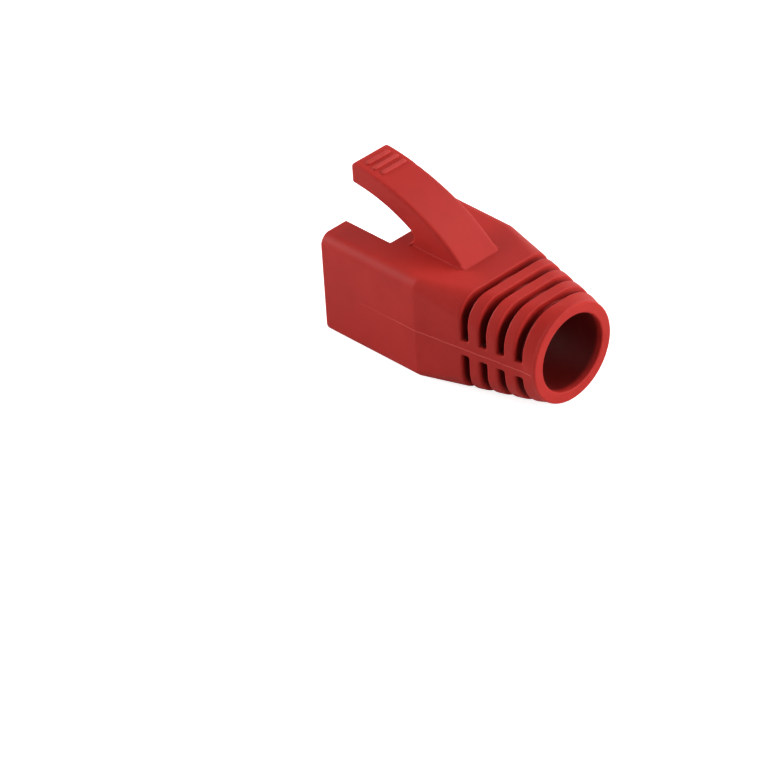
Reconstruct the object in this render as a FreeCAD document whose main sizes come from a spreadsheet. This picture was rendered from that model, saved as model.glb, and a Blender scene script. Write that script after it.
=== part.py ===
"""Moulded strain relief boot for a modular cable plug, in one piece of soft plastic.

The boot lies on its flat underside. +Z is up, the plug's mouth faces -Y and the cable leaves
towards +Y. The part's origin is the middle of its footprint on the surface. In the sketches,
distances along Y are taken from the mouth, and the whole body is then moved to that origin.
"""
import FreeCAD, Part
import math
import os

import Sketcher

VECTOR = FreeCAD.Vector

# Driving dimensions in millimetres and degrees: value and meaning.
SIZES = {
    # Front body, a square-cornered sleeve over the plug
    "body_width": (14.0, "outer width at the mouth"),
    "shoulder_width": (13.8, "outer width where the taper starts"),
    "body_height": (11.15, "height of the top face above the underside"),
    "top_edge_radius": (1.2, "rounding of the two upper long edges"),
    "bottom_edge_radius": (0.9, "rounding of the two lower long edges"),
    "taper_start": (12.45, "distance from the mouth to the shoulder"),
    # Cable end
    "axis_height": (5.75, "cable axis above the underside"),
    "collar_length": (1.64, "last slot to the cable end"),
    "collar_root_width": (10.5, "outer width where the collar starts"),
    "collar_root_height": (10.4, "outer height there"),
    "collar_root_flat": (2.1, "flat part of the sides there, between the round corners"),
    "rim_diameter": (10.5, "outside of the round rim that ends the collar"),
    "rim_length": (0.4, "straight part of that rim"),
    "rim_bevel": (0.12, "bevel of the rim's outer end edge"),
    "bore_diameter": (8.1, "cable bore"),
    "bore_bevel": (0.1, "bevel of the bore's end edge"),
    # Ribs: slots around a thin tube, stopped by a web on each side
    "slot_count": (4, "slots above and below the side webs"),
    "slot_start": (17.85, "mouth to the first slot"),
    "slot_width": (0.9, "gap between two ribs"),
    "slot_pitch": (2.07, "spacing of the slots"),
    "tube_wall": (0.45, "wall left between a slot's floor and the bore"),
    "web_top": (0.73, "upper edge of the web that joins the ribs on each side, above the axis"),
    "web_bottom": (0.95, "lower edge of that web, below the axis"),
    # Plug cavity
    "side_wall": (1.15, "wall beside the plug"),
    "roof_wall": (1.37, "wall above the plug"),
    "floor_wall": (1.5, "wall under the plug"),
    "cavity_depth": (9.6, "depth of the plug cavity"),
    "cavity_corner_radius": (0.8, "rounding of the cavity's upright rear corners"),
    "neck_diameter": (7.4, "hole from the cavity into the cable bore"),
    "neck_length": (2.0, "wall behind the plug, which that hole goes through"),
    "ridge_width": (10.5, "snap ridge across the mouth"),
    "ridge_height": (1.05, "snap ridge above the cavity floor"),
    "ridge_crest": (0.45, "flat top of the ridge along the plug"),
    "ridge_foot": (1.3, "foot of the ridge along the plug"),
    # Gap in the roof, for the plug's latch
    "latch_gap_width": (6.94, "between the two lips of the roof"),
    "latch_gap_length": (6.05, "mouth to the rear edge of the gap"),
    # Lever that guards the latch: a curved channel, open below
    "lever_width": (4.85, "across the lever"),
    "lever_height": (17.2, "top of the lever's tip above the underside"),
    "lever_tip_inset": (0.08, "mouth plane to the lever's tip"),
    "lever_tip_angle": (4.0, "slope of the lever's top at its tip"),
    "lever_bend_angle": (27.0, "slope of the lever's top where the root curve starts"),
    "lever_span_radius": (27.0, "curve of the lever's long span"),
    "lever_root_radius": (17.0, "tighter curve of the lever's root"),
    "lever_edge_radius": (0.25, "rounding of the lever's upper edges"),
    "blend_front_radius": (0.8, "hollow between the lever's sides and the roof, at the round end"),
    "blend_rear_radius": (0.3, "the same hollow at the lever's foot"),
    "plate_thickness": (0.85, "top plate of the channel"),
    "cheek_thickness": (0.84, "side cheeks of the channel"),
    "cheek_height": (2.2, "side of the lever at its tip"),
    "cheek_under_radius": (17.4, "curve of the cheeks' lower edge"),
    "cheek_end_angle": (29.0, "slope of that edge where it meets the round end"),
    "throat_radius": (0.9, "round end of the gap between cheeks and roof"),
    "throat_centre": (7.3, "mouth to the centre of that round end"),
    "throat_height": (0.82, "centre of that round end above the roof"),
    "channel_end": (12.2, "mouth to the rear wall of the channel"),
    # Finger grip on the lever
    "grip_count": (3, "raised bars near the tip"),
    "grip_start": (1.0, "lever's tip to the first bar"),
    "grip_pitch": (1.2, "spacing of the bars"),
    "grip_width": (0.4, "each bar along the lever"),
    "grip_length": (3.4, "each bar across the lever"),
    "grip_height": (0.16, "each bar above the plate"),
}

# How far a cut starts or ends outside the material, how far a hole runs into the hollows at its
# two ends, and how deep a hollow blend is set into the two faces that it joins.
OVERRUN = 0.5
OVERLAP = 0.01
BITE = 0.03
# What the underside is drawn too low by, before it is cut flat.
SKIM = 0.002
# Half the arc of a circle, in degrees, that a loft matches with one flat side of the sleeve.
SIDE_ANGLE = 3.0
# The channel's cut is drawn past the lever's tip by this many degrees of the span's curve.
TIP_OVERRUN_ANGLE = 6.0
TOLERANCE = 1e-4


class Size:
    """A length that carries both its value and the sheet expression that gives it."""

    def __init__(self, value, text):
        self.value = value
        self.text = text

    @staticmethod
    def of(item):
        return item if isinstance(item, Size) else Size(float(item), "%.6f" % item)

    def __add__(self, other):
        other = Size.of(other)
        return Size(self.value + other.value, "(%s + %s)" % (self.text, other.text))

    def __sub__(self, other):
        other = Size.of(other)
        return Size(self.value - other.value, "(%s - %s)" % (self.text, other.text))

    def __mul__(self, other):
        other = Size.of(other)
        return Size(self.value * other.value, "(%s * %s)" % (self.text, other.text))

    def __truediv__(self, other):
        other = Size.of(other)
        return Size(self.value / other.value, "(%s / %s)" % (self.text, other.text))

    def __neg__(self):
        return Size(-self.value, "(0 - %s)" % self.text)

    def root(self):
        return Size(math.sqrt(self.value), "sqrt(%s)" % self.text)

    def sine(self):
        return Size(math.sin(math.radians(self.value)), "sin(%s * 1 deg)" % self.text)

    def cosine(self):
        return Size(math.cos(math.radians(self.value)), "cos(%s * 1 deg)" % self.text)


ZERO = Size.of(0)


def size(name):
    """The named driving dimension."""
    return Size(float(SIZES[name][0]), "Sizes.%s" % name)


def collar_start():
    """The collar starts where the last slot ends."""
    return size("slot_start") + size("slot_pitch") * (size("slot_count") - 1) + size("slot_width")


def total_length():
    """From the mouth to the cable end."""
    return collar_start() + size("collar_length")


def fill_sheet(document):
    """Writes the driving dimensions into the document's sheet."""
    sheet = document.addObject("Spreadsheet::Sheet", "Sizes")
    for row, (name, (value, meaning)) in enumerate(SIZES.items(), start=1):
        sheet.set("A%d" % row, meaning)
        sheet.set("B%d" % row, str(value))
        sheet.setAlias("B%d" % row, name)
    document.recompute()


def bind(item, prop, length):
    """Ties a property to the sheet."""
    item.setExpression(prop, length.text)


def add_sketch(body, name, role, offset=None):
    """A sketch on one of the body's own planes, moved along the plane's normal by offset."""
    sketch = body.newObject("Sketcher::SketchObject", name)
    plane = next(item for item in body.Origin.OriginFeatures if item.Role == role)
    sketch.AttachmentSupport = [(plane, "")]
    sketch.MapMode = "FlatFace"
    if offset is not None:
        bind(sketch, "AttachmentOffset.Base.z", offset)
    return sketch


def cross_section(body, name, distance):
    """A sketch across the boot at a distance from the mouth: its axes are X and Z."""
    return add_sketch(body, name, "XZ_Plane", -distance)


def side_section(body, name):
    """A sketch on the boot's middle plane: its axes are Y and Z."""
    return add_sketch(body, name, "YZ_Plane")


class Round:
    """A round side of an outline: its radius, and which way it turns along the outline."""

    def __init__(self, radius, clockwise=False):
        self.radius = radius
        self.clockwise = clockwise

    def curve(self, start, end):
        """The arc of this radius from start to end, under half a turn."""
        chord = end - start
        middle = (start + end) * 0.5
        height = math.sqrt(max(self.radius.value ** 2 - (chord.Length / 2) ** 2, 0.0))
        normal = VECTOR(-chord.y, chord.x, 0).normalize()
        centre = middle + normal * (-height if self.clockwise else height)
        first, last = (end, start) if self.clockwise else (start, end)
        first_angle = math.atan2(first.y - centre.y, first.x - centre.x)
        last_angle = math.atan2(last.y - centre.y, last.x - centre.x)
        circle = Part.Circle(centre, VECTOR(0, 0, 1), self.radius.value)
        return Part.ArcOfCircle(circle, first_angle, last_angle)


def place_point(sketch, point, u, v):
    """Dimensions a point of a sketch from the sketch's origin."""
    for kind, length in (("DistanceX", u), ("DistanceY", v)):
        rule = Sketcher.Constraint(kind, -1, 1, point[0], point[1], length.value)
        index = sketch.addConstraint(rule)
        bind(sketch, "Constraints[%d]" % index, length)


def set_radius(sketch, number, radius):
    """Dimensions the radius of an arc or circle of a sketch."""
    index = sketch.addConstraint(Sketcher.Constraint("Radius", number, radius.value))
    bind(sketch, "Constraints[%d]" % index, radius)


def draw_outline(sketch, corners, sides):
    """Draws one closed outline.

    corners: (u, v) lengths in order. sides: None for a straight side or a Round, side i running
    from corner i to the next.
    """
    points = [VECTOR(u.value, v.value, 0) for u, v in corners]
    starts, ends = [], []
    for i, side in enumerate(sides):
        start, end = points[i], points[(i + 1) % len(points)]
        shape = Part.LineSegment(start, end) if side is None else side.curve(start, end)
        number = sketch.addGeometry(shape, False)
        backwards = side is not None and side.clockwise
        starts.append((number, 2 if backwards else 1))
        ends.append((number, 1 if backwards else 2))
    for i, start in enumerate(starts):
        sketch.addConstraint(Sketcher.Constraint("Coincident", *ends[i - 1], *start))
    for start, (u, v) in zip(starts, corners):
        place_point(sketch, start, u, v)
    for start, side in zip(starts, sides):
        if side is not None:
            set_radius(sketch, start[0], side.radius)


def draw_circle(sketch, radius, u, v):
    """A dimensioned circle."""
    circle = Part.Circle(VECTOR(u.value, v.value, 0), VECTOR(0, 0, 1), radius.value)
    number = sketch.addGeometry(circle, False)
    place_point(sketch, (number, 3), u, v)
    set_radius(sketch, number, radius)


def draw_rectangle(sketch, left, right, low, high):
    """A plain rectangle."""
    corners = [(left, low), (right, low), (right, high), (left, high)]
    draw_outline(sketch, corners, [None] * 4)


def draw_sleeve_section(sketch, half_width, low, high, low_radius, high_radius):
    """A rectangle with four round corners, started on its lower side."""
    corners = [
        (-half_width + low_radius, low), (half_width - low_radius, low),
        (half_width, low + low_radius), (half_width, high - high_radius),
        (half_width - high_radius, high), (-half_width + high_radius, high),
        (-half_width, high - high_radius), (-half_width, low + low_radius),
    ]
    low_round, high_round = Round(low_radius), Round(high_radius)
    sides = [None, low_round, None, high_round, None, high_round, None, low_round]
    draw_outline(sketch, corners, sides)


def draw_split_circle(sketch, radius, centre_height):
    """A circle in eight arcs, so that it matches the sleeve's four sides and four corners."""
    near_part, far_part = math.sin(math.radians(SIDE_ANGLE)), math.cos(math.radians(SIDE_ANGLE))
    unit = [(-near_part, -far_part), (near_part, -far_part), (far_part, -near_part),
            (far_part, near_part), (near_part, far_part), (-near_part, far_part),
            (-far_part, near_part), (-far_part, -near_part)]
    corners = [(radius * u, centre_height + radius * v) for u, v in unit]
    draw_outline(sketch, corners, [Round(radius)] * len(unit))


def add_pad(body, name, sketch, length, along_y=False, both_ways=False):
    """Adds material to a sketch's depth: towards +Y from a cross section, or to both sides."""
    pad = body.newObject("PartDesign::Pad", name)
    pad.Profile = sketch
    bind(pad, "Length", length)
    pad.Reversed = along_y
    pad.Midplane = both_ways
    return pad


def add_pocket(body, name, sketch, length, along_y=False, both_ways=False):
    """Takes material away: towards +Y from a cross section, upwards, or to both sides."""
    pocket = body.newObject("PartDesign::Pocket", name)
    pocket.Profile = sketch
    bind(pocket, "Length", length)
    pocket.Reversed = not along_y
    pocket.Midplane = both_ways
    return pocket


def find_edges(base, wanted):
    """The edges of a feature that pass a test, in the form that a fillet or bevel takes."""
    base.Document.recompute()
    return base, ["Edge%d" % number for number, edge in enumerate(base.Shape.Edges, start=1) if wanted(edge)]


def add_fillet(body, name, base, wanted, radius):
    """Rounds some edges of the last feature."""
    fillet = body.newObject("PartDesign::Fillet", name)
    fillet.Base = find_edges(base, wanted)
    bind(fillet, "Radius", radius)
    return fillet


def add_bevel(body, name, base, wanted, width):
    """Bevels some edges of the last feature by the same width on both faces."""
    bevel = body.newObject("PartDesign::Chamfer", name)
    bevel.Base = find_edges(base, wanted)
    bind(bevel, "Size", width)
    return bevel


def near(value, target):
    """True where two lengths are the same."""
    return abs(value - target) < TOLERANCE


def crosswise(edge, distance):
    """True for an edge that lies wholly in the cross section at a distance from the mouth."""
    return near(edge.BoundBox.YMin, distance.value) and near(edge.BoundBox.YMax, distance.value)


def is_arc(edge, *radii):
    """True for a round edge with one of some radii."""
    if edge.Degenerated or edge.Curve.TypeId != "Part::GeomCircle":
        return False
    return any(near(edge.Curve.Radius, radius.value) for radius in radii)


def lever_curves():
    """The two arcs of the lever's top: its tip, the bend where they meet, and both centres."""
    tip = (size("lever_tip_inset"), size("lever_height"))
    span, root = size("lever_span_radius"), size("lever_root_radius")
    start, turn = size("lever_tip_angle"), size("lever_bend_angle")
    span_centre = (tip[0] - span * start.sine(), tip[1] - span * start.cosine())
    bend = (span_centre[0] + span * turn.sine(), span_centre[1] + span * turn.cosine())
    root_centre = (bend[0] - root * turn.sine(), bend[1] - root * turn.cosine())
    return {"tip": tip, "bend": bend, "span_centre": span_centre, "root_centre": root_centre}


def point_on_arc(centre, radius, height=None, distance=None):
    """Where an arc reaches a height, or a distance from the mouth, on its rear upper quarter."""
    if height is not None:
        rise = height - centre[1]
        return centre[0] + (radius * radius - rise * rise).root(), height
    run = distance - centre[0]
    return distance, centre[1] + (radius * radius - run * run).root()


def build_lever(body):
    """The latch guard: a curved arm that springs from the roof and reaches back to the mouth."""
    curves = lever_curves()
    tip, bend = curves["tip"], curves["bend"]
    seat = size("body_height") - size("roof_wall") / 2
    foot = point_on_arc(curves["root_centre"], size("lever_root_radius"), height=seat)
    lip = (tip[0], tip[1] - size("cheek_height"))
    throat = size("throat_radius")
    throat_centre, throat_high = throat_points()
    throat_low = (throat_centre[0], throat_centre[1] - throat)

    outline = side_section(body, "LeverOutline")
    corners = [tip, lip, throat_high, throat_low, (throat_centre[0], seat), foot, bend]
    sides = [None, Round(size("cheek_under_radius"), clockwise=True), Round(throat, clockwise=True),
             None, None, Round(size("lever_root_radius")), Round(size("lever_span_radius"))]
    draw_outline(outline, corners, sides)
    return add_pad(body, "Lever", outline, size("lever_width"), both_ways=True)


def build_lever_edges(body, lever):
    """Rounds the lever's upper edges, along both sides and across its tip."""
    half = size("lever_width").value / 2

    def upper(edge):
        top_arc = is_arc(edge, size("lever_span_radius"), size("lever_root_radius"))
        tip = crosswise(edge, size("lever_tip_inset"))
        return (top_arc and near(abs(edge.BoundBox.XMin), half)) or (
            tip and near(edge.BoundBox.ZMin, size("lever_height").value))

    add_fillet(body, "LeverTopEdges", lever, upper, size("lever_edge_radius"))


def throat_points():
    """The round end of the gap under the lever: its centre, and where it leaves the cheeks."""
    throat, end = size("throat_radius"), size("cheek_end_angle")
    centre = (size("throat_centre"), size("body_height") + size("throat_height"))
    return centre, (centre[0] + throat * end.sine(), centre[1] + throat * end.cosine())


def build_lever_blend(body):
    """The soft hollow between each side of the lever and the roof, shallower towards the foot."""
    throat_centre, throat_high = throat_points()
    roof, throat = size("body_height"), size("throat_radius")
    front_radius, rear_radius = size("blend_front_radius"), size("blend_rear_radius")
    low = roof - size("roof_wall") / 2
    root_centre = lever_curves()["root_centre"]
    rear = point_on_arc(root_centre, size("lever_root_radius"), height=roof + rear_radius)[0]
    sections = []
    for name, distance, radius in (("BlendFront", throat_centre[0], front_radius),
                                   ("BlendRear", rear, rear_radius)):
        inner = size("lever_width") / 2 - BITE
        outer, foot, top = inner + radius, roof - BITE, roof + radius - BITE
        section = cross_section(body, name, distance)
        corners = [(-outer, low), (outer, low), (outer, foot), (inner, top), (-inner, top), (-outer, foot)]
        hollow = Round(radius, clockwise=True)
        draw_outline(section, corners, [None, None, hollow, None, hollow, None])
        sections.append(section)
    blend = body.newObject("PartDesign::AdditiveLoft", "LeverBlend")
    blend.Profile = sections[0]
    blend.Sections = sections[1:]
    blend.Ruled = True

    drop = (throat * throat - size("throat_height") * size("throat_height")).root()
    front = throat_centre[0] - throat
    outline = side_section(body, "ThroatOutline")
    corners = [(front, roof), (throat_centre[0] + drop, roof), throat_high, (front, throat_high[1])]
    draw_outline(outline, corners, [None, Round(throat), None, None])
    width = size("lever_width") + (front_radius + OVERRUN) * 2
    add_pocket(body, "Throat", outline, width, both_ways=True)


def add_sleeve_section(body, name, distance, width, levels, radii):
    """A section of the shell: its lower and upper level, and the radii of its corners there."""
    section = cross_section(body, name, distance)
    draw_sleeve_section(section, width / 2, *levels, *radii)
    return section


def build_shell(body):
    """The outer form: drafted sleeve, taper, and collar, whose corners fade into a round rim."""
    levels = (-Size.of(SKIM), size("body_height"))
    radii = (size("bottom_edge_radius"), size("top_edge_radius"))
    axis, root_half = size("axis_height"), size("collar_root_height") / 2
    root_levels = (axis - root_half, axis + root_half)
    root_radii = (root_half - size("collar_root_flat") / 2,) * 2
    rim_start, rim_radius = total_length() - size("rim_length"), size("rim_diameter") / 2

    sections = [
        add_sleeve_section(body, "MouthSection", ZERO, size("body_width"), levels, radii),
        add_sleeve_section(body, "ShoulderSection", size("taper_start"), size("shoulder_width"),
                           levels, radii),
        add_sleeve_section(body, "CollarRootSection", collar_start(), size("collar_root_width"),
                           root_levels, root_radii),
        cross_section(body, "RimSection", rim_start),
    ]
    draw_split_circle(sections[-1], rim_radius, axis)
    shell = body.newObject("PartDesign::AdditiveLoft", "Shell")
    shell.Profile = sections[0]
    shell.Sections = sections[1:]
    shell.Ruled = True

    underside = side_section(body, "UndersideOutline")
    draw_rectangle(underside, -Size.of(OVERRUN), collar_start(), -Size.of(OVERRUN), ZERO)
    add_pocket(body, "Underside", underside, size("body_width") + OVERRUN * 2, both_ways=True)

    ring = cross_section(body, "RimOutline", rim_start)
    draw_circle(ring, rim_radius, ZERO, axis)
    add_pad(body, "Rim", ring, size("rim_length"), along_y=True)


def build_channel(body):
    """Hollows the lever from below, between its two cheeks, back into the root."""
    curves = lever_curves()
    span_centre = curves["span_centre"]
    plate, turn = size("plate_thickness"), size("lever_bend_angle")
    span, root = size("lever_span_radius") - plate, size("lever_root_radius") - plate
    ahead = size("lever_tip_angle") - TIP_OVERRUN_ANGLE
    roof = size("body_height")
    under_tip = (span_centre[0] + span * ahead.sine(), span_centre[1] + span * ahead.cosine())
    under_bend = (span_centre[0] + span * turn.sine(), span_centre[1] + span * turn.cosine())
    under_rear = point_on_arc(curves["root_centre"], root, distance=size("channel_end"))

    outline = side_section(body, "ChannelOutline")
    corners = [(under_rear[0], roof), under_rear, under_bend, under_tip, (under_tip[0], roof)]
    draw_outline(outline, corners, [None, Round(root), Round(span), None, None])
    hollow = size("lever_width") - size("cheek_thickness") * 2
    add_pocket(body, "Channel", outline, hollow, both_ways=True)


def build_latch_gap(body):
    """Opens the roof at the mouth, between two lips."""
    half, axis = size("latch_gap_width") / 2, size("axis_height")
    gap = add_sketch(body, "LatchGapOutline", "XY_Plane", axis)
    draw_rectangle(gap, -half, half, -Size.of(OVERRUN), size("latch_gap_length"))
    add_pocket(body, "LatchGap", gap, size("body_height") - axis + OVERRUN)


def build_cavity(body):
    """The plug's cavity, the cable bore, and the neck in the wall between them."""
    half = size("body_width") / 2 - size("side_wall")
    low, high = size("floor_wall"), size("body_height") - size("roof_wall")
    axis, depth = size("axis_height"), size("cavity_depth")

    section = cross_section(body, "CavitySection", ZERO)
    draw_rectangle(section, -half, half, low, high)
    cavity = add_pocket(body, "Cavity", section, depth, along_y=True)

    def upright_rear(edge):
        box = edge.BoundBox
        upright = near(box.ZMin, low.value) and near(box.ZMax, high.value)
        return crosswise(edge, depth) and upright and near(abs(box.XMin), half.value)

    add_fillet(body, "CavityCoves", cavity, upright_rear, size("cavity_corner_radius"))

    neck = cross_section(body, "NeckSection", depth - OVERLAP)
    draw_circle(neck, size("neck_diameter") / 2, ZERO, axis)
    add_pocket(body, "Neck", neck, size("neck_length") + OVERLAP * 2, along_y=True)

    bore_start = depth + size("neck_length")
    cable = cross_section(body, "BoreSection", bore_start)
    draw_circle(cable, size("bore_diameter") / 2, ZERO, axis)
    return add_pocket(body, "Bore", cable, total_length() - bore_start + OVERRUN, along_y=True)


def build_end_edges(body, base):
    """Bevels the two edges of the cable end."""
    end, rim, bore = total_length(), size("rim_diameter") / 2, size("bore_diameter") / 2

    def outer_ring(edge):
        return crosswise(edge, end) and is_arc(edge, rim)

    def inner_ring(edge):
        return crosswise(edge, end) and is_arc(edge, bore)

    outer = add_bevel(body, "RimEdge", base, outer_ring, size("rim_bevel"))
    add_bevel(body, "BoreEdge", outer, inner_ring, size("bore_bevel"))


def build_slots(body):
    """Slots between the ribs: they stop at a thin tube round the bore and at the side webs."""
    axis = size("axis_height")
    tube = size("bore_diameter") / 2 + size("tube_wall")
    reach = size("body_width") / 2 + OVERRUN
    ribs = cross_section(body, "SlotSection", size("slot_start"))
    for side, web in ((1, size("web_top")), (-1, size("web_bottom"))):
        inner = (tube * tube - web * web).root()
        level, outer = axis + web * side, axis + reach * side
        corners = [(inner * side, level), (reach * side, level), (reach * side, outer),
                   (-reach * side, outer), (-reach * side, level), (-inner * side, level)]
        draw_outline(ribs, corners, [None] * 5 + [Round(tube, clockwise=True)])
    slot = add_pocket(body, "Slot", ribs, size("slot_width"), along_y=True)
    body.Document.recompute()
    pattern = body.newObject("PartDesign::LinearPattern", "Slots")
    pattern.Originals = [slot]
    pattern.Direction = (ribs, ["N_Axis"])
    pattern.Reversed = True
    bind(pattern, "Length", size("slot_pitch") * (size("slot_count") - 1))
    bind(pattern, "Occurrences", size("slot_count"))
    body.Tip = pattern


def build_snap_ridge(body):
    """The low ridge across the mouth's floor that the plug clicks over, sloped on its rear side."""
    floor = size("floor_wall")
    low, high = floor / 2, floor + size("ridge_height")
    crest, foot = size("ridge_crest"), size("ridge_foot")
    profile = side_section(body, "RidgeOutline")
    corners = [(ZERO, low), (foot, low), (foot, floor), (crest, high), (ZERO, high)]
    draw_outline(profile, corners, [None] * len(corners))
    add_pad(body, "SnapRidge", profile, size("ridge_width"), both_ways=True)


def build_grip(body):
    """Raised bars across the lever, spaced round the centre of its top curve."""
    span, start = size("lever_span_radius"), size("lever_tip_angle")
    span_centre = lever_curves()["span_centre"]
    turn_per_length = Size.of(180 / math.pi) / span
    middle = start + size("grip_start") * turn_per_length
    half_turn = size("grip_width") / 2 * turn_per_length
    low, high = span - size("plate_thickness") / 2, span + size("grip_height")

    bar = side_section(body, "GripBarOutline")
    bind(bar, "AttachmentOffset.Base.x", span_centre[0])
    bind(bar, "AttachmentOffset.Base.y", span_centre[1])
    before, after = middle - half_turn, middle + half_turn
    corners = [(radius * angle.sine(), radius * angle.cosine())
               for radius, angle in ((low, before), (low, after), (high, after), (high, before))]
    draw_outline(bar, corners, [None] * len(corners))
    pad = add_pad(body, "GripBar", bar, size("grip_length"), both_ways=True)
    body.Document.recompute()
    pattern = body.newObject("PartDesign::PolarPattern", "GripBars")
    pattern.Originals = [pad]
    pattern.Axis = (bar, ["N_Axis"])
    pattern.Reversed = True
    bind(pattern, "Angle", size("grip_pitch") * turn_per_length * (size("grip_count") - 1))
    bind(pattern, "Occurrences", size("grip_count"))
    body.Tip = pattern


def check(document):
    """Stops with a message where a feature or a finished body has failed."""
    for item in document.Objects:
        if "Invalid" in item.State or "Error" in item.State:
            raise RuntimeError("%s failed: %s" % (item.Name, item.State))
    for body in document.findObjects("PartDesign::Body"):
        if body.Shape.isNull() or not body.Shape.isValid():
            raise RuntimeError("%s has no valid shape" % body.Label)
        if len(body.Shape.Solids) != 1:
            raise RuntimeError("%s is not in one piece" % body.Label)


def main():
    document = FreeCAD.newDocument("StrainReliefBoot")
    fill_sheet(document)
    body = document.addObject("PartDesign::Body", "Boot")
    body.Label = "boot"
    lever = build_lever(body)
    build_lever_edges(body, lever)
    build_lever_blend(body)
    build_shell(body)
    build_channel(body)
    build_latch_gap(body)
    bore = build_cavity(body)
    build_end_edges(body, bore)
    build_slots(body)
    build_snap_ridge(body)
    build_grip(body)
    bind(body, "Placement.Base.y", -total_length() / 2)
    document.recompute()
    check(document)
    os.makedirs("parts", exist_ok=True)
    body.Shape.exportStep("parts/%s.step" % body.Label)


main()
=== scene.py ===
"""Looks of a moulded strain relief boot for a modular cable plug: one piece of soft red plastic.

The boot's own frame is used throughout: +Z up, the plug's mouth towards -Y, the cable end towards +Y,
the origin in the middle of the footprint. Sizes of the boot are in millimetres until a mesh is made.
"""
import logging
import math
from dataclasses import dataclass, field
from enum import Enum
from typing import ClassVar

import bmesh
import bpy
import numpy as np
from mathutils import Matrix, Vector


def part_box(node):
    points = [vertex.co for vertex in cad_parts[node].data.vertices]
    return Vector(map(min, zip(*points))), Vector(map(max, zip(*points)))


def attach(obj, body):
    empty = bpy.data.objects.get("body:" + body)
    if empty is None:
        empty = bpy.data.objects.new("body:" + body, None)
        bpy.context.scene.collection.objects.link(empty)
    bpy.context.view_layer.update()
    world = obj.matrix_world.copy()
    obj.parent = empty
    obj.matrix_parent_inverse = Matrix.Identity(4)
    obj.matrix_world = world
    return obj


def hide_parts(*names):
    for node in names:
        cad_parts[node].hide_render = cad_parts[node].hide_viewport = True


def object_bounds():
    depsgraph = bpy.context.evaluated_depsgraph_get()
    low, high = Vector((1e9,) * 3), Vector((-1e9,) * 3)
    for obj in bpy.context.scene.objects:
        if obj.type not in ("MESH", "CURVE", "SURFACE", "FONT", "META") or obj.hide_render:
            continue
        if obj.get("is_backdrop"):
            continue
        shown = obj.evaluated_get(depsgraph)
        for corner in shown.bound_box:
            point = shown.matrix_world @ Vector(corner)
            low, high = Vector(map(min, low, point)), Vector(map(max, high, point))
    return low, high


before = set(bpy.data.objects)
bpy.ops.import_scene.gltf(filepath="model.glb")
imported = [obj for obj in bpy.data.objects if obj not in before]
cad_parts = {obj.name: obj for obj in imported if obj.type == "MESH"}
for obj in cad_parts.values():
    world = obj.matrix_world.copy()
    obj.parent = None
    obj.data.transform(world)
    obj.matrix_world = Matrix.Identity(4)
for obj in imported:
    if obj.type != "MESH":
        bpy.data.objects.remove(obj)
CAD_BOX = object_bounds()

LOG = logging.getLogger("boot")
MM = 0.001
TINY = 1e-6
BODY = "root"
NODE = "boot"
LOWEST = np.array(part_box(NODE)[0]) / MM
HIGHEST = np.array(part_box(NODE)[1]) / MM


class Side(Enum):
    """The two sides of the boot, by the sign of X."""

    LEFT = -1
    RIGHT = 1


class Maths(Enum):
    """What a math node works on."""

    NUMBER = "ShaderNodeMath"
    TRIPLE = "ShaderNodeVectorMath"


class Curve(Enum):
    """How a range is mapped: evenly, or with soft ends."""

    EVEN = "LINEAR"
    SOFT = "SMOOTHSTEP"


def smooth_step(values: np.ndarray, start: float, end: float) -> np.ndarray:
    """Rises from 0 at start to 1 at end along the curve 3 t squared less 2 t cubed.

    Args:
        values: where the step is read.
        start: the value at which the rise starts.
        end: the value at which it ends, above or below start.

    Returns:
        One number from 0 to 1 for each value.
    """
    t = np.clip((values - start) / (end - start), 0.0, 1.0)
    return t * t * (3.0 - 2.0 * t)


def mesh_from_arrays(name: str, points: np.ndarray, faces: np.ndarray) -> bpy.types.Mesh:
    """Makes a mesh from arrays, with its faces turned outwards and shaded smooth.

    Args:
        name: the mesh's name.
        points: one row of X, Y and Z in millimetres for each vertex.
        faces: one row of vertex numbers for each face.

    Returns:
        The mesh, in metres.
    """
    mesh = bpy.data.meshes.new(name)
    mesh.from_pydata((points * MM).tolist(), [], faces.tolist())
    shell = bmesh.new()
    shell.from_mesh(mesh)
    bmesh.ops.recalc_face_normals(shell, faces=shell.faces)
    shell.to_mesh(mesh)
    shell.free()
    mesh.shade_smooth()
    return mesh


def closed_tube(rings: np.ndarray) -> tuple[np.ndarray, np.ndarray]:
    """Joins rings of points into a tube whose two ends draw together in a point.

    Args:
        rings: points by ring, by place round the ring, by axis.

    Returns:
        The points as rows, and the faces as rows of four vertex numbers.
    """
    count, around = rings.shape[:2]
    rings[0], rings[-1] = rings[0].mean(axis=0), rings[-1].mean(axis=0)
    number = np.arange(count * around).reshape(count, around)
    beside = np.roll(number, -1, axis=1)
    faces = np.stack([number[:-1], beside[:-1], beside[1:], number[1:]], axis=-1)
    return rings.reshape(-1, 3), faces.reshape(-1, 4)


def waves(values: np.ndarray, parts: tuple[tuple[float, float, float], ...]) -> np.ndarray:
    """Adds up a few sines, each its height times the sine of (value times pace, plus start).

    Args:
        values: where the waves are read.
        parts: height, pace and start of each sine, the last in radians.

    Returns:
        One sum for each value.
    """
    return sum(height * np.sin(values * pace + start) for height, pace, start in parts)


def math_node(tree: bpy.types.NodeTree, kind: Maths, operation: str, *values: object) -> bpy.types.Node:
    """Adds a math node.

    Args:
        tree: the nodes of a material or of the world.
        kind: whether it works on numbers or on triples.
        operation: what it does.
        values: its inputs, each a socket or a plain value.

    Returns:
        The node.
    """
    node = tree.nodes.new(kind.value)
    node.operation = operation
    for number, value in enumerate(values):
        if isinstance(value, bpy.types.NodeSocket):
            tree.links.new(value, node.inputs[number])
        else:
            node.inputs[number].default_value = value
    return node


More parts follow.
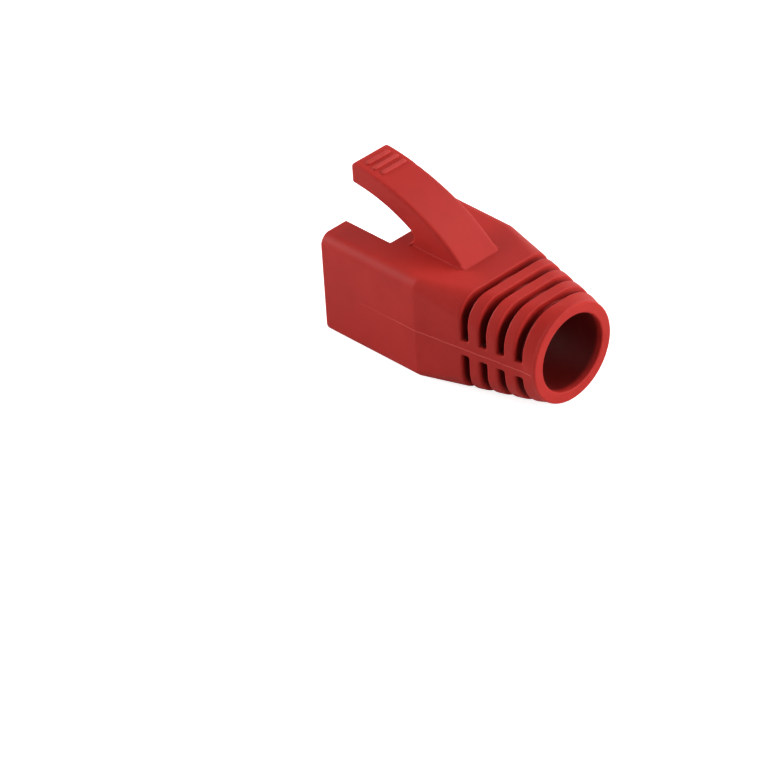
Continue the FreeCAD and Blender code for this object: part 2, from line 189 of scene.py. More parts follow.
def map_range(tree: bpy.types.NodeTree, value: bpy.types.NodeSocket, start: tuple[float, float],
              end: tuple[float, float], curve: Curve = Curve.EVEN) -> bpy.types.NodeSocket:
    """Maps one range of numbers to another.

    Args:
        tree: the nodes of a material or of the world.
        value: the number to map.
        start: the range that it comes from, rising or falling.
        end: the range that it goes to.
        curve: how the one range is laid on the other.

    Returns:
        The mapped number.
    """
    spread = tree.nodes.new("ShaderNodeMapRange")
    spread.interpolation_type = curve.value
    for name, number in zip(("From Min", "From Max", "To Min", "To Max"), start + end):
        spread.inputs[name].default_value = number
    tree.links.new(value, spread.inputs["Value"])
    return spread.outputs["Result"]


def add_piece(name: str, mesh: bpy.types.Mesh, material: bpy.types.Material) -> bpy.types.Object:
    """Puts a mesh into the scene as a piece of the boot, at the origin and unturned.

    Args:
        name: the piece's name.
        mesh: its mesh, in metres and in the boot's own frame.
        material: the finish of its whole surface.

    Returns:
        The piece, which rides on the boot's only body.
    """
    mesh.materials.clear()
    mesh.materials.append(material)
    piece = bpy.data.objects.new(name, mesh)
    bpy.context.scene.collection.objects.link(piece)
    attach(piece, BODY)
    LOG.info("%s: %d vertices, %d faces", name, len(mesh.vertices), len(mesh.polygons))
    return piece


@dataclass(frozen=True)
class SoftPlastic:
    """Matt, slightly grainy soft plastic, as it comes out of a spark-eroded mould.

    The colour drifts between two near reds over a few millimetres, the gloss drifts with it, and the
    surface has a fine grain over a faint waviness. In the slots and the bore the colour is darker:
    painted shade, where shade falls in these recesses. All patterns read the boot's own coordinates.
    """

    name: str = "soft_red_plastic"
    deep: tuple[float, float, float] = (0.405, 0.0212, 0.0168)
    light: tuple[float, float, float] = (0.445, 0.0250, 0.0195)
    cloud_size: float = 4.0
    cloud_range: tuple[float, float] = (0.35, 0.65)
    grain_size: float = 0.09
    grain_height: float = 0.006
    wave_size: float = 2.6
    wave_height: float = 0.02
    roughness: tuple[float, float] = (0.42, 0.54)
    rough_range: tuple[float, float] = (0.7, 1.3)
    refraction: float = 1.46
    gloss: float = 0.14
    glow: float = 0.04
    glow_depth: float = 0.35
    glow_spread: tuple[float, float, float] = (1.0, 0.18, 0.12)
    # painted shade in the slots and the bore: how much it darkens the colour, and where it lies
    painted_shade_strength: float = 0.75
    depth_reach: tuple[float, float] = (-0.1, -0.65)
    depth_front: tuple[float, float] = (4.0, 4.4)
    depth_back: tuple[float, float] = (13.1, 12.2)
    depth_top: tuple[float, float] = (8.6, 10.6)
    depth_top_share: float = 0.35
    middle_height: float = 5.68
    shell_box: tuple[float, float] = (5.527, 4.289)
    shell_box_slope: tuple[float, float] = (-0.3797, -0.2778)
    shell_round: tuple[float, float] = (1.261, 0.2478)

    def build(self) -> bpy.types.Material:
        """Builds the finish.

        Returns:
            The material, named after the finish.
        """
        material = bpy.data.materials.new(self.name)
        material.use_nodes = True
        tree = material.node_tree
        shader = tree.nodes["Principled BSDF"]
        place = tree.nodes.new("ShaderNodeTexCoord").outputs["Object"]
        cloud = self._noise(tree, place, self.cloud_size, detail=3.0)
        grain = self._noise(tree, place, self.grain_size, detail=2.0)
        wave = self._noise(tree, place, self.wave_size, detail=1.0)
        self._colour(tree, shader, cloud, place)
        self._gloss(tree, shader, cloud, grain)
        self._relief(tree, shader, grain, wave)
        shader.inputs["IOR"].default_value = self.refraction
        shader.inputs["Specular IOR Level"].default_value = self.gloss
        shader.inputs["Subsurface Weight"].default_value = self.glow
        shader.inputs["Subsurface Scale"].default_value = self.glow_depth * MM
        shader.inputs["Subsurface Radius"].default_value = self.glow_spread
        return material

    @staticmethod
    def _noise(tree: bpy.types.NodeTree, place: bpy.types.NodeSocket, size: float,
               detail: float) -> bpy.types.NodeSocket:
        """A noise whose spots are about size millimetres wide.

        Args:
            tree: the material's nodes.
            place: the coordinates, in metres.
            size: width of a spot in millimetres.
            detail: how many finer layers lie in it.

        Returns:
            The noise's height, from 0 to 1.
        """
        noise = tree.nodes.new("ShaderNodeTexNoise")
        noise.inputs["Scale"].default_value = 1.0 / (size * MM)
        noise.inputs["Detail"].default_value = detail
        tree.links.new(place, noise.inputs["Vector"])
        return noise.outputs["Fac"]

    def _colour(self, tree: bpy.types.NodeTree, shader: bpy.types.Node,
                cloud: bpy.types.NodeSocket, place: bpy.types.NodeSocket) -> None:
        """Drifts the colour between the two reds with the cloud pattern, and paints shade into the depths.

        The colour is scaled by one less the painted shade's strength times its share.

        Args:
            tree: the material's nodes.
            shader: the surface's shader.
            cloud: the pattern that mixes the reds.
            place: the coordinates, in metres.
        """
        ramp = tree.nodes.new("ShaderNodeValToRGB")
        stops = zip(ramp.color_ramp.elements, self.cloud_range, (self.deep, self.light))
        for stop, position, red in stops:
            stop.position = position
            stop.color = (*red, 1.0)
        tree.links.new(cloud, ramp.inputs["Fac"])
        # painted shade: the slots and the bore are darkened where shade falls
        depth = self._painted_shade_share(tree, place)
        shade = map_range(tree, depth, (0.0, 1.0), (1.0, 1.0 - self.painted_shade_strength), Curve.SOFT)
        scaled = math_node(tree, Maths.TRIPLE, "SCALE", ramp.outputs["Color"])
        tree.links.new(shade, scaled.inputs["Scale"])
        tree.links.new(scaled.outputs["Vector"], shader.inputs["Base Color"])

    def _painted_shade_share(self, tree: bpy.types.NodeTree, place: bpy.types.NodeSocket) -> bpy.types.NodeSocket:
        """Where the painted shade falls: how deep a place lies in the slots or the bore, under the outer
        shell of the taper.

        Across the boot the shell is a box with round corners. A place's distance beyond it is the
        length of (its own distances from the middle less the half sizes of the box between the
        corners' centres, and not below nought) less the corners' radius. Box and radius change
        evenly along Y: shell_box and the first of shell_round hold at Y nought, and the slopes are
        per millimetre. The shallower slots on top count for less.

        Args:
            tree: the material's nodes.
            place: the coordinates, in metres.

        Returns:
            The share of painted shade, from 0 on the outside to 1 in the depths.
        """
        parts = tree.nodes.new("ShaderNodeSeparateXYZ")
        tree.links.new(place, parts.inputs["Vector"])
        along = math_node(tree, Maths.NUMBER, "MULTIPLY", parts.outputs["Y"], 1.0 / MM).outputs[0]
        spread = tree.nodes.new("ShaderNodeCombineXYZ")
        tree.links.new(along, spread.inputs["X"])
        tree.links.new(along, spread.inputs["Z"])
        slope, size = self.shell_box_slope, self.shell_box
        box = math_node(tree, Maths.TRIPLE, "MULTIPLY_ADD", spread.outputs["Vector"],
                        (slope[0], 0.0, slope[1]), (size[0], 0.0, size[1])).outputs[0]
        centred = math_node(tree, Maths.TRIPLE, "MULTIPLY_ADD", place, (1.0 / MM, 0.0, 1.0 / MM),
                            (0.0, 0.0, -self.middle_height)).outputs[0]
        own = math_node(tree, Maths.TRIPLE, "ABSOLUTE", centred).outputs[0]
        over = math_node(tree, Maths.TRIPLE, "SUBTRACT", own, box).outputs[0]
        over = math_node(tree, Maths.TRIPLE, "MAXIMUM", over, (0.0, 0.0, 0.0)).outputs[0]
        length = math_node(tree, Maths.TRIPLE, "LENGTH", over).outputs["Value"]
        middle_radius, growth = self.shell_round
        radius = math_node(tree, Maths.NUMBER, "MULTIPLY_ADD", along, growth, middle_radius).outputs[0]
        beyond = math_node(tree, Maths.NUMBER, "SUBTRACT", length, radius).outputs[0]
        share = map_range(tree, beyond, self.depth_reach, (0.0, 1.0), Curve.SOFT)
        high = math_node(tree, Maths.NUMBER, "MULTIPLY", parts.outputs["Z"], 1.0 / MM).outputs[0]
        limits = ((along, self.depth_front, (0.0, 1.0)), (along, self.depth_back, (0.0, 1.0)),
                  (high, self.depth_top, (1.0, self.depth_top_share)))
        for value, ends, factors in limits:
            factor = map_range(tree, value, ends, factors, Curve.SOFT)
            share = math_node(tree, Maths.NUMBER, "MULTIPLY", share, factor).outputs[0]
        return share

    def _gloss(self, tree: bpy.types.NodeTree, shader: bpy.types.Node,
               cloud: bpy.types.NodeSocket, grain: bpy.types.NodeSocket) -> None:
        """Maps the sum of cloud and grain to a roughness between the two that the plastic has.

        Args:
            tree: the material's nodes.
            shader: the surface's shader.
            cloud: the wide pattern.
            grain: the fine pattern.
        """
        total = math_node(tree, Maths.NUMBER, "ADD", cloud, grain).outputs[0]
        tree.links.new(map_range(tree, total, self.rough_range, self.roughness), shader.inputs["Roughness"])

    def _relief(self, tree: bpy.types.NodeTree, shader: bpy.types.Node,
                grain: bpy.types.NodeSocket, wave: bpy.types.NodeSocket) -> None:
        """Lays the fine grain over the faint waviness, as two bumps in a row.

        Args:
            tree: the material's nodes.
            shader: the surface's shader.
            grain: height of the fine grain.
            wave: height of the waviness.
        """
        under = None
        for height, depth in ((wave, self.wave_height), (grain, self.grain_height)):
            bump = tree.nodes.new("ShaderNodeBump")
            bump.inputs["Strength"].default_value = 1.0
            bump.inputs["Distance"].default_value = depth * MM
            tree.links.new(height, bump.inputs["Height"])
            if under is not None:
                tree.links.new(under, bump.inputs["Normal"])
            under = bump.outputs["Normal"]
        tree.links.new(under, shader.inputs["Normal"])


@dataclass(frozen=True)
class BarHighlightPlastic(SoftPlastic):
    """The same plastic on the grip bars, painted a little paler: a painted highlight on the raised bars."""

    name: str = "bar_highlight_red_plastic"
    # painted highlight: paler reds stand in for the light that the raised bars catch
    deep: tuple[float, float, float] = (0.44, 0.036, 0.030)
    light: tuple[float, float, float] = (0.48, 0.042, 0.036)


@dataclass(frozen=True)
class BeadHighlightPlastic(SoftPlastic):
    """The same plastic in the thin bead of the parting line, painted paler: a painted highlight along the
    bead.
    """

    name: str = "bead_highlight_red_plastic"
    # painted highlight: paler reds stand in for the light that the bead catches
    deep: tuple[float, float, float] = (0.54, 0.062, 0.052)
    light: tuple[float, float, float] = (0.60, 0.076, 0.064)


@dataclass
class Moulding:
    """The moulded skin of the boot, with every edge as soft as the mould leaves it.

    A mould's edges aren't knife sharp and soft plastic rounds them further, most of all on the ribs.
    So the exact solid is sampled on a fine grid and its skin is relaxed: again and again, each point
    moves part of the way to the mean of its neighbours. That part sets how far an edge is softened,
    in millimetres: a little everywhere, more on the ribs, the lever and its tip. The hollows beside
    the lever are drawn into their corners, and the grip bars are levelled, as they are pieces of
    their own.
    """

    merge: float = 0.0005
    grid: float = 0.06
    share: float = 0.6
    passes: int = 30
    softness: float = 0.075
    rib_softness: float = 0.12
    rib_start: float = 4.3
    rib_end: float = 11.9
    rib_inner: float = 4.9
    axis_height: float = 5.75
    tip_softness: float = 0.24
    tip_start: float = -12.9
    lever_softness: float = 0.15
    lever_end: float = 0.6
    lever_low: float = 12.0
    crease_softness: float = 0.02
    crease_reach: float = 0.45
    hollow_start: float = -6.0
    hollow_end: float = 1.2
    hollow_radii: tuple[float, float] = (0.8, 0.3)
    hollow_band: float = 0.12
    grip_end: float = -8.5
    grip_low: float = 16.0
    fade: float = 0.5
    triangles: int = 190000

    def build(self, source: bpy.types.Object, material: bpy.types.Material) -> bpy.types.Object:
        """Builds the skin and lets it stand for the exact solid.

        Args:
            source: the boot's exact solid.
            material: the boot's finish.

        Returns:
            The skin.
        """
        dense = self._sampled(source)
        self._shape(dense)
        dense.transform(Matrix.Scale(MM, 4))
        skin = self._thinned(dense)
        skin.name = "boot_skin"
        skin.shade_smooth()
        piece = add_piece("boot_skin", skin, material)
        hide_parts(NODE)
        return piece

    @staticmethod
    def _evaluated(mesh: bpy.types.Mesh, kind: str, **settings: object) -> bpy.types.Mesh:
        """Runs one modifier on a mesh.

        Args:
            mesh: the mesh to change, which is removed afterwards.
            kind: the modifier's type.
            settings: the modifier's settings.

        Returns:
            The changed mesh.
        """
        holder = bpy.data.objects.new("holder", mesh)
        bpy.context.scene.collection.objects.link(holder)
        modifier = holder.modifiers.new(kind.title(), kind)
        for name, value in settings.items():
            setattr(modifier, name, value)
        graph = bpy.context.evaluated_depsgraph_get()
        changed = bpy.data.meshes.new_from_object(holder.evaluated_get(graph))
        bpy.data.objects.remove(holder)
        bpy.data.meshes.remove(mesh)
        return changed

    def _sampled(self, source: bpy.types.Object) -> bpy.types.Mesh:
        """Copies the solid's mesh in millimetres, merges it and samples it on the grid.

        Args:
            source: the boot's exact solid.

        Returns:
            A dense mesh of near-square faces, in millimetres.
        """
        merged = source.data.copy()
        merged.transform(Matrix.Scale(1.0 / MM, 4))
        shell = bmesh.new()
        shell.from_mesh(merged)
        bmesh.ops.remove_doubles(shell, verts=shell.verts, dist=self.merge)
        shell.to_mesh(merged)
        shell.free()
        return self._evaluated(merged, "REMESH", mode="VOXEL", voxel_size=self.grid)

    def _wanted_softness(self, points: np.ndarray) -> np.ndarray:
        """How far the edges are softened at each point.

        Each region's share rises from 0 to 1 over the fade, and its softness takes the place of the
        one beneath by that share: the whole skin, then the ribs' outside, the lever, its tip and
        the creases beside it.

        Args:
            points: the skin's vertices in millimetres.

        Returns:
            One softness in millimetres for each point.
        """
        along, high = points[:, 1], points[:, 2]
        reach = np.hypot(points[:, 0], high - self.axis_height)
        ribs = smooth_step(along, self.rib_start - self.fade, self.rib_start)
        ribs *= smooth_step(along, self.rib_end + self.fade, self.rib_end)
        ribs *= smooth_step(reach, self.rib_inner, self.rib_inner + self.fade)
        high_enough = smooth_step(high, self.lever_low - self.fade, self.lever_low)
        lever = high_enough * smooth_step(along, self.lever_end, self.lever_end - self.fade)
        tip = high_enough * smooth_step(along, self.tip_start + self.fade, self.tip_start)
        corner = np.hypot(np.abs(points[:, 0]) - GripBars.lever_width / 2, high - GripBars.roof)
        crease = smooth_step(corner, self.crease_reach, self.crease_reach / 2)
        crease *= smooth_step(along, self.hollow_start - self.fade, self.hollow_start)
        crease *= smooth_step(along, self.hollow_end + self.fade, self.hollow_end)
        regions = ((ribs, self.rib_softness), (lever, self.lever_softness), (tip, self.tip_softness),
                   (crease, self.crease_softness))
        wanted = np.full(len(points), self.softness)
        for region, value in regions:
            wanted += region * (value - wanted)
        return wanted

    def _tighten_hollows(self, points: np.ndarray) -> None:
        """Draws the round hollows beside the lever into the corners that they fill.

        Seen from a hollow's centre, the corner's two faces lie radius / max(cosine, sine) away in
        the direction of each point. A point that lies within hollow_band of the hollow moves there
        from its own distance, and less so past the hollow's ends, over the fade.

        Args:
            points: the skin's vertices in millimetres, which are changed in place.
        """
        half, roof = GripBars.lever_width / 2, GripBars.roof
        along = points[:, 1]
        radius = np.interp(along, [self.hollow_start, self.hollow_end], self.hollow_radii)
        run = half + radius - np.abs(points[:, 0])
        rise = roof + radius - points[:, 2]
        away = np.hypot(run, rise)
        inside = (run > 0.0) & (rise > 0.0) & (np.abs(away - radius) < self.hollow_band)
        inside &= (along > self.hollow_start - self.fade) & (along < self.hollow_end + self.fade)
        corner = radius * away / np.maximum(np.maximum(run, rise), TINY)
        share = smooth_step(along, self.hollow_start - self.fade, self.hollow_start)
        share *= smooth_step(along, self.hollow_end + self.fade, self.hollow_end)
        wanted = away + share * (corner - away)
        scale = np.where(inside, wanted / np.maximum(away, TINY), 1.0)
        side = np.sign(points[:, 0])
        points[:, 0] = np.where(inside, side * (half + radius - run * scale), points[:, 0])
        points[:, 2] = np.where(inside, roof + radius - rise * scale, points[:, 2])

    def _level_grip(self, points: np.ndarray) -> None:
        """Lowers all that stands above the lever's top arc on to it, which levels the grip bars.

        Args:
            points: the skin's vertices in millimetres, which are changed in place.
        """
        centre_along, centre_high = GripBars.centre()
        run, rise = points[:, 1] - centre_along, points[:, 2] - centre_high
        away = np.hypot(run, rise)
        grip = (points[:, 1] < self.grip_end) & (points[:, 2] > self.grip_low)
        scale = np.where(grip & (away > GripBars.arc_radius), GripBars.arc_radius / away, 1.0)
        points[:, 1] = centre_along + run * scale
        points[:, 2] = centre_high + rise * scale

    def _shape(self, mesh: bpy.types.Mesh) -> None:
        """Levels the grip, tightens the hollows and relaxes the skin.

        A point moves by strength times (mean of its neighbours less itself). On a square grid,
        n passes spread a point over grid times the root of (n times strength / 2), so strength is
        2 / n times the square of (softness / grid), and never above share.

        Args:
            mesh: the dense mesh, which is changed in place.
        """
        count = len(mesh.vertices)
        points = np.empty(count * 3)
        mesh.vertices.foreach_get("co", points)
        points = points.reshape(-1, 3)
        edges = np.empty(len(mesh.edges) * 2, dtype=np.int64)
        mesh.edges.foreach_get("vertices", edges)
        ends = edges.reshape(-1, 2)
        here = np.concatenate([ends[:, 0], ends[:, 1]])
        there = np.concatenate([ends[:, 1], ends[:, 0]])
        degree = np.maximum(np.bincount(here, minlength=count), 1)
        self._level_grip(points)
        self._tighten_hollows(points)
        wanted = self._wanted_softness(points)
        strength = np.minimum(2.0 / self.passes * (wanted / self.grid) ** 2, self.share)
        for _ in range(self.passes):
            for axis in range(3):
                mean = np.bincount(here, weights=points[there, axis], minlength=count) / degree
                points[:, axis] += strength * (mean - points[:, axis])
        mesh.vertices.foreach_set("co", points.ravel())
        mesh.update()

    def _thinned(self, dense: bpy.types.Mesh) -> bpy.types.Mesh:
        """Merges faces where the skin is flattest, down to the number of triangles wanted.

        Args:
            dense: the relaxed mesh.

        Returns:
            The thinned mesh.
        """
        dense.calc_loop_triangles()
        ratio = min(1.0, self.triangles / len(dense.loop_triangles))
        LOG.info("dense skin: %d triangles", len(dense.loop_triangles))
        return self._evaluated(dense, "DECIMATE", ratio=ratio)


@dataclass(frozen=True)
class GripBars:
    """The raised bars that give the finger a hold near the lever's tip.

    Each bar is a tube of rings across the lever. A ring is flat below, under the plastic, and above
    it follows a squarish oval: the cosine and the sine of the angle, each raised to the power
    squareness, times the bar's half width and its height. Both fall to nought at the bar's ends,
    as the root of 1 less the share of the half length raised to end_power.
    """

    arc_radius: ClassVar[float] = 27.0
    tip_slope: ClassVar[float] = 4.0
    tip_height: ClassVar[float] = 17.2
    tip_inset: ClassVar[float] = 0.08
    lever_width: ClassVar[float] = 4.85
    roof: ClassVar[float] = 11.15
    start: float = 1.24
    pitch: float = 1.0
    lengths: tuple[float, ...] = (3.15, 3.45, 3.3)
    shifts: tuple[float, ...] = (-0.07, -0.09, -0.16)
    width: float = 0.5
    height: float = 0.18
    sunk: float = 0.12
    squareness: float = 0.45
    end_power: float = 14.0
    unevenness: float = 0.03
    uneven_pace: float = 9.0
    steps: int = 60
    around: int = 28

    @classmethod
    def centre(cls) -> tuple[float, float]:
        """Where the lever's top arc has its centre.

        Returns:
            The centre's place along Y and its height, in millimetres.
        """
        slope = math.radians(cls.tip_slope)
        along = LOWEST[1] + cls.tip_inset - cls.arc_radius * math.sin(slope)
        return along, cls.tip_height - cls.arc_radius * math.cos(slope)

    def build(self, material: bpy.types.Material) -> list[bpy.types.Object]:
        """Builds the bars.

        Args:
            material: the bars' finish.

        Returns:
            One closed tube for each bar.
        """
        centre_along, centre_high = self.centre()
        bars = []
        for number, (length, shift) in enumerate(zip(self.lengths, self.shifts)):
            turn = math.radians(self.tip_slope) + (self.start + number * self.pitch) / self.arc_radius
            place = np.linspace(-1.0, 1.0, self.steps)
            fall = np.sqrt(np.maximum(1.0 - np.abs(place) ** self.end_power, 0.0))
            angle = np.linspace(0.0, 2.0 * math.pi, self.around, endpoint=False)
            cosine, sine = np.cos(angle), np.sin(angle)
            side = np.sign(cosine) * np.abs(cosine) ** self.squareness * self.width / 2
            top = np.where(sine > 0.0, np.abs(sine) ** self.squareness * self.height, -self.sunk)
            wobble = 1.0 + waves(place, ((self.unevenness, self.uneven_pace, number),))
            ring_turn = turn + np.outer(fall * wobble, side) / self.arc_radius
            radius = self.arc_radius + np.outer(fall * wobble, top)
            points = np.empty((self.steps, self.around, 3))
            points[..., 0] = (place * length / 2 + shift)[:, None]
            points[..., 1] = centre_along + radius * np.sin(ring_turn)
            points[..., 2] = centre_high + radius * np.cos(ring_turn)
            mesh = mesh_from_arrays("grip_bar", *closed_tube(points))
            bars.append(add_piece("grip_bar_%d" % (number + 1), mesh, material))
        return bars


@dataclass(frozen=True)
class GateMark:
    """The small rough stub where the mould's inlet was broken off, on the left side by the collar.

    It is a low dome on a round grid. Its edge wanders by a few sines of the angle, and its top is
    roughened by a sine of the share of the radius times a sine of the angle.
    """

    along: float = 10.95
    high: float = 5.75
    reach: float = 5.31
    radius: float = 0.42
    height: float = 0.13
    sunk: float = 0.1
    edge_waves: tuple[tuple[float, float, float], ...] = ((0.1, 3.0, 0.5), (0.06, 7.0, 0.0))
    top_rings: tuple[tuple[float, float, float], ...] = ((0.2, 9.0, 0.0),)
    top_spokes: tuple[tuple[float, float, float], ...] = ((1.0, 5.0, 0.0),)
    rings: int = 14
    around: int = 40

    def build(self, material: bpy.types.Material) -> bpy.types.Object:
        """Builds the stub.

        Args:
            material: the boot's finish.

        Returns:
            The stub as a closed dome.
        """
        share = np.linspace(0.0, 1.0, self.rings)
        angle = np.linspace(0.0, 2.0 * math.pi, self.around, endpoint=False)
        edge = self.radius * (1.0 + waves(angle, self.edge_waves))
        rough = np.outer(waves(share, self.top_rings), waves(angle, self.top_spokes))
        out = (self.height + self.sunk) * np.sqrt(1.0 - share ** 2)[:, None] * (1.0 + rough) - self.sunk
        out[-1] = -self.sunk
        top = np.empty((self.rings, self.around, 3))
        top[..., 0] = -(self.reach + out)
        top[..., 1] = self.along + share[:, None] * edge * np.cos(angle)
        top[..., 2] = self.high + share[:, None] * edge * np.sin(angle)
        base = np.repeat(top[-1].mean(axis=0)[None, None, :], self.around, axis=1)
        mesh = mesh_from_arrays("gate_mark", *closed_tube(np.concatenate([top, base])))
        return add_piece("gate_mark", mesh, material)


@dataclass
class PartingLine:
    """The thin bead that the joint of the two mould halves leaves along one side.

    A flattened oval profile is carried along the side: along the drafted sleeve, inwards with the
    taper, then along the collar. shoulder_reach and collar_reach are the boot's half widths where the
    taper and the collar start. The bead is barely there at the mouth and stands proud at the webs.
    Its height above the floor and how proud it stands both waver by a few sines of the way along.
    """

    side: Side
    shoulder_reach: float = 6.9
    collar_reach: float = 5.25
    taper_start: float = -0.85
    collar_start: float = 11.66
    start: float = -8.6
    end: float = 13.0
    start_height: float = 5.46
    end_height: float = 5.66
    width: float = 0.15
    narrow_share: float = 0.3
    widening: tuple[float, float] = (-6.0, 2.0)
    proud: float = 0.055
    faint: float = 0.012
    rising: tuple[float, float] = (-8.0, 1.0)
    run_in: float = 0.6
    run_out: float = 0.3
    drift: tuple[tuple[float, float, float], ...] = ((0.012, 1.7, 0.0), (0.008, 4.3, 1.0))
    unevenness: tuple[tuple[float, float, float], ...] = ((0.18, 2.9, 0.0), (0.1, 7.1, 0.0))
    sunk: float = 0.05
    steps: int = 220
    around: int = 12

    def build(self, material: bpy.types.Material) -> bpy.types.Object:
        """Builds the bead.

        Args:
            material: the bead's finish.

        Returns:
            The bead as a closed tube.
        """
        along = np.linspace(self.start, self.end, self.steps)
        reach = np.interp(along, [LOWEST[1], self.taper_start, self.collar_start],
                          [HIGHEST[0], self.shoulder_reach, self.collar_reach])
        height = np.interp(along, [self.start, self.end], [self.start_height, self.end_height])
        height += waves(along, self.drift)
        ends = smooth_step(along, self.start, self.start + self.run_in)
        ends *= smooth_step(along, self.end, self.end - self.run_out)
        proud = self.faint + (self.proud - self.faint) * smooth_step(along, *self.rising)
        proud *= (1.0 + waves(along, self.unevenness)) * ends
        width = self.narrow_share + (1.0 - self.narrow_share) * smooth_step(along, *self.widening)
        angle = np.linspace(0.0, 2.0 * math.pi, self.around, endpoint=False)
        across = np.outer(self.width * width * ends / 2, np.cos(angle))
        out = (proud + self.sunk)[:, None] * np.sin(angle)[None, :] - self.sunk
        out = np.where(np.sin(angle)[None, :] < 0.0, -self.sunk, out)
        points = np.empty((self.steps, self.around, 3))
        points[..., 0] = self.side.value * (reach[:, None] + out)
        points[..., 1] = along[:, None]
        points[..., 2] = height[:, None] + across
        mesh = mesh_from_arrays("parting_line", *closed_tube(points))
        return add_piece("parting_line_" + self.side.name.lower(), mesh, material)


@dataclass(frozen=True)
class PhotoCamera:
    """The camera of the photograph, found by fitting the boot's measured edges.

    The boot stands on the floor with its mouth's lower middle at mouth_place, turned by turn about
    the vertical. The camera looks down by pitch at the floor's origin and is tilted by roll. Angles
    are in radians, focal_length is in pixels of a frame that is frame_width across, sensor is in
    millimetres, and nearest and farthest are in metres.
    """

    frame_width: float = 760.0
    focal_length: float = 4232.18
    distance: float = 405.876
    pitch: float = 0.6104
    roll: float = -0.0661
    turn: float = -2.3993
    mouth_place: tuple[float, float] = (0.3017, 13.7036)
    sensor: float = 36.0
    nearest: float = 0.01
    farthest: float = 10.0

    def build(self) -> bpy.types.Object:
        """Makes the scene's camera.

        Returns:
            The camera.
        """
        forward = Vector((0.0, math.cos(self.pitch), -math.sin(self.pitch)))
        level = Vector((1.0, 0.0, 0.0))
        upward = level.cross(forward)
        right = level * math.cos(self.roll) + upward * math.sin(self.roll)
        up = upward * math.cos(self.roll) - level * math.sin(self.roll)
        to_boot = Matrix.Rotation(-self.turn, 3, "Z")
        place = to_boot @ (-forward * self.distance - Vector((*self.mouth_place, 0.0)))
        place.y += LOWEST[1]
        data = bpy.data.cameras.new("camera")
        data.sensor_width = self.sensor
        data.lens = self.focal_length * self.sensor / self.frame_width
        data.clip_start, data.clip_end = self.nearest, self.farthest
        camera = bpy.data.objects.new("camera", data)
        axes = Matrix([to_boot @ right, to_boot @ up, to_boot @ -forward]).transposed()
        camera.matrix_world = Matrix.Translation(place * MM) @ axes.to_4x4()
        bpy.context.scene.collection.objects.link(camera)
        bpy.context.scene.camera = camera
        return camera


@dataclass(frozen=True)
class SoftBox:
    """A square soft lamp that looks at the boot.

    Azimuth is the lamp's direction seen from above, from the camera's right (0) away from the
    camera (90) to its left (180), and elevation is its height above the floor, both in degrees.
    Size and distance are in metres, and power is in watts.
    """

    name: str
    azimuth: float
    elevation: float
    size: float
    power: float
    distance: float = 0.6

    def build(self, turn: float) -> bpy.types.Object:
        """Makes the lamp.

        Args:
            turn: the boot's turn in the photograph, which the azimuth is taken from.

        Returns:
            The lamp.
        """
        flat, rise = math.radians(self.azimuth) - turn, math.radians(self.elevation)
        away = Vector((math.cos(flat) * math.cos(rise), math.sin(flat) * math.cos(rise), math.sin(rise)))
        data = bpy.data.lights.new(self.name, "AREA")
        data.shape = "SQUARE"
        data.size = self.size
        data.energy = self.power
        lamp = bpy.data.objects.new(self.name, data)
        lamp.location = away * self.distance + Vector((0.0, 0.0, HIGHEST[2] * MM / 2))
        lamp.rotation_mode = "QUATERNION"
        lamp.rotation_quaternion = away.to_track_quat("Z", "Y")
        bpy.context.scene.collection.objects.link(lamp)
        return lamp


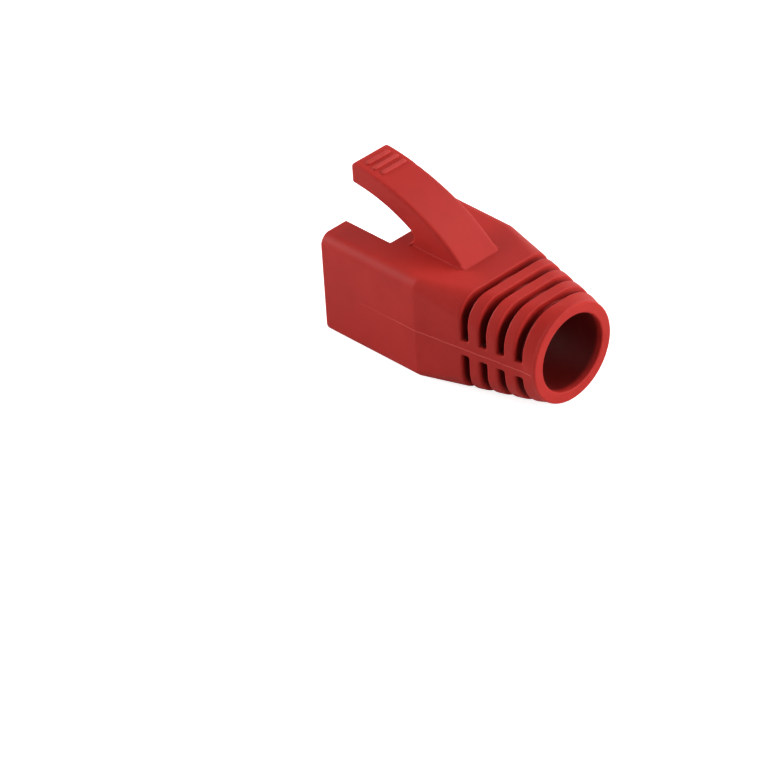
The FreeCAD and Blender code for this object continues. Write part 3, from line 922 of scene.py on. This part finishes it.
@dataclass
class Studio:
    """A white floor that keeps the boot's shadow, a pale surround and the soft lamps, in metres."""

    floor_size: float = 6.0
    floor_colour: float = 0.8
    floor_roughness: float = 0.9
    floor_lift: float = 0.85
    surround: float = 0.10
    lamps: list[SoftBox] = field(default_factory=lambda: [
        SoftBox("right_front_lamp", -30.0, 20.0, 0.4, 3.2),
        SoftBox("right_back_lamp", 32.0, 38.0, 0.4, 2.3),
        SoftBox("left_back_lamp", 154.0, 17.0, 0.4, 4.9),
        SoftBox("front_lamp", -80.0, 42.0, 0.4, 0.25),
    ])

    def build(self, turn: float) -> None:
        """Sets up floor, surround and lamps.

        Args:
            turn: the boot's turn in the photograph.
        """
        self._floor()
        self._world()
        for lamp in self.lamps:
            lamp.build(turn)
        bpy.context.scene.view_settings.view_transform = "Standard"

    @staticmethod
    def _seen_directly(tree: bpy.types.NodeTree, kinds: tuple[str, ...]) -> bpy.types.NodeSocket:
        """One where the light path is any of some kinds of ray, else nought.

        Args:
            tree: the nodes of a material or of the world.
            kinds: outputs of the Light Path node.

        Returns:
            The larger of the outputs.
        """
        path = tree.nodes.new("ShaderNodeLightPath")
        seen = path.outputs[kinds[0]]
        for kind in kinds[1:]:
            seen = math_node(tree, Maths.NUMBER, "MAXIMUM", seen, path.outputs[kind]).outputs[0]
        return seen

    def _floor(self) -> None:
        """Lays the floor: pale and matt, lifted to white for the camera so that only shadow shows."""
        half = self.floor_size / 2 / MM
        corners = np.array([[-half, -half, 0.0], [half, -half, 0.0], [half, half, 0.0], [-half, half, 0.0]])
        mesh = mesh_from_arrays("floor", corners, np.array([[0, 1, 2, 3]]))
        material = bpy.data.materials.new("pale_floor")
        material.use_nodes = True
        tree = material.node_tree
        shader = tree.nodes["Principled BSDF"]
        shader.inputs["Base Color"].default_value = (self.floor_colour,) * 3 + (1.0,)
        shader.inputs["Roughness"].default_value = self.floor_roughness
        shader.inputs["Specular IOR Level"].default_value = 0.0
        shader.inputs["Emission Color"].default_value = (1.0, 1.0, 1.0, 1.0)
        seen = self._seen_directly(tree, ("Is Camera Ray",))
        lift = math_node(tree, Maths.NUMBER, "MULTIPLY", seen, self.floor_lift).outputs[0]
        tree.links.new(lift, shader.inputs["Emission Strength"])
        mesh.materials.append(material)
        floor = bpy.data.objects.new("floor", mesh)
        bpy.context.scene.collection.objects.link(floor)
        floor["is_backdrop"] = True

    def _world(self) -> None:
        """Makes the surround: white where it is seen directly, and a plain pale fill light."""
        world = bpy.data.worlds.new("surround")
        world.use_nodes = True
        bpy.context.scene.world = world
        tree = world.node_tree
        background = tree.nodes["Background"]
        background.inputs["Color"].default_value = (1.0, 1.0, 1.0, 1.0)
        seen = self._seen_directly(tree, ("Is Camera Ray", "Is Glossy Ray", "Is Transmission Ray"))
        strength = map_range(tree, seen, (0.0, 1.0), (self.surround, 1.0))
        tree.links.new(strength, background.inputs["Strength"])


def write_sizes() -> None:
    """Writes the solid's box and the dressed boot's box, as plain lists of metres."""
    boxes = {"cad": CAD_BOX, "visual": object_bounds()}
    boxes = {name: [list(corner) for corner in box] for name, box in boxes.items()}
    LOG.info("sizes: %s", boxes)


def main() -> None:
    """Builds the finishes, the boot's pieces, the studio and the camera."""
    logging.basicConfig(level=logging.INFO, format="%(message)s")
    plastic, bar_highlight, thin = (finish().build() for finish in (SoftPlastic, BarHighlightPlastic, BeadHighlightPlastic))
    Moulding().build(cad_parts[NODE], plastic)
    # the grip bars get the paler finish with the painted highlight
    GripBars().build(bar_highlight)
    GateMark().build(plastic)
    for side in Side:
        # the parting lines get the paler finish with the painted highlight
        PartingLine(side).build(thin)
    camera = PhotoCamera()
    Studio().build(camera.turn)
    camera.build()
    write_sizes()


if __name__ == "__main__":
    main()
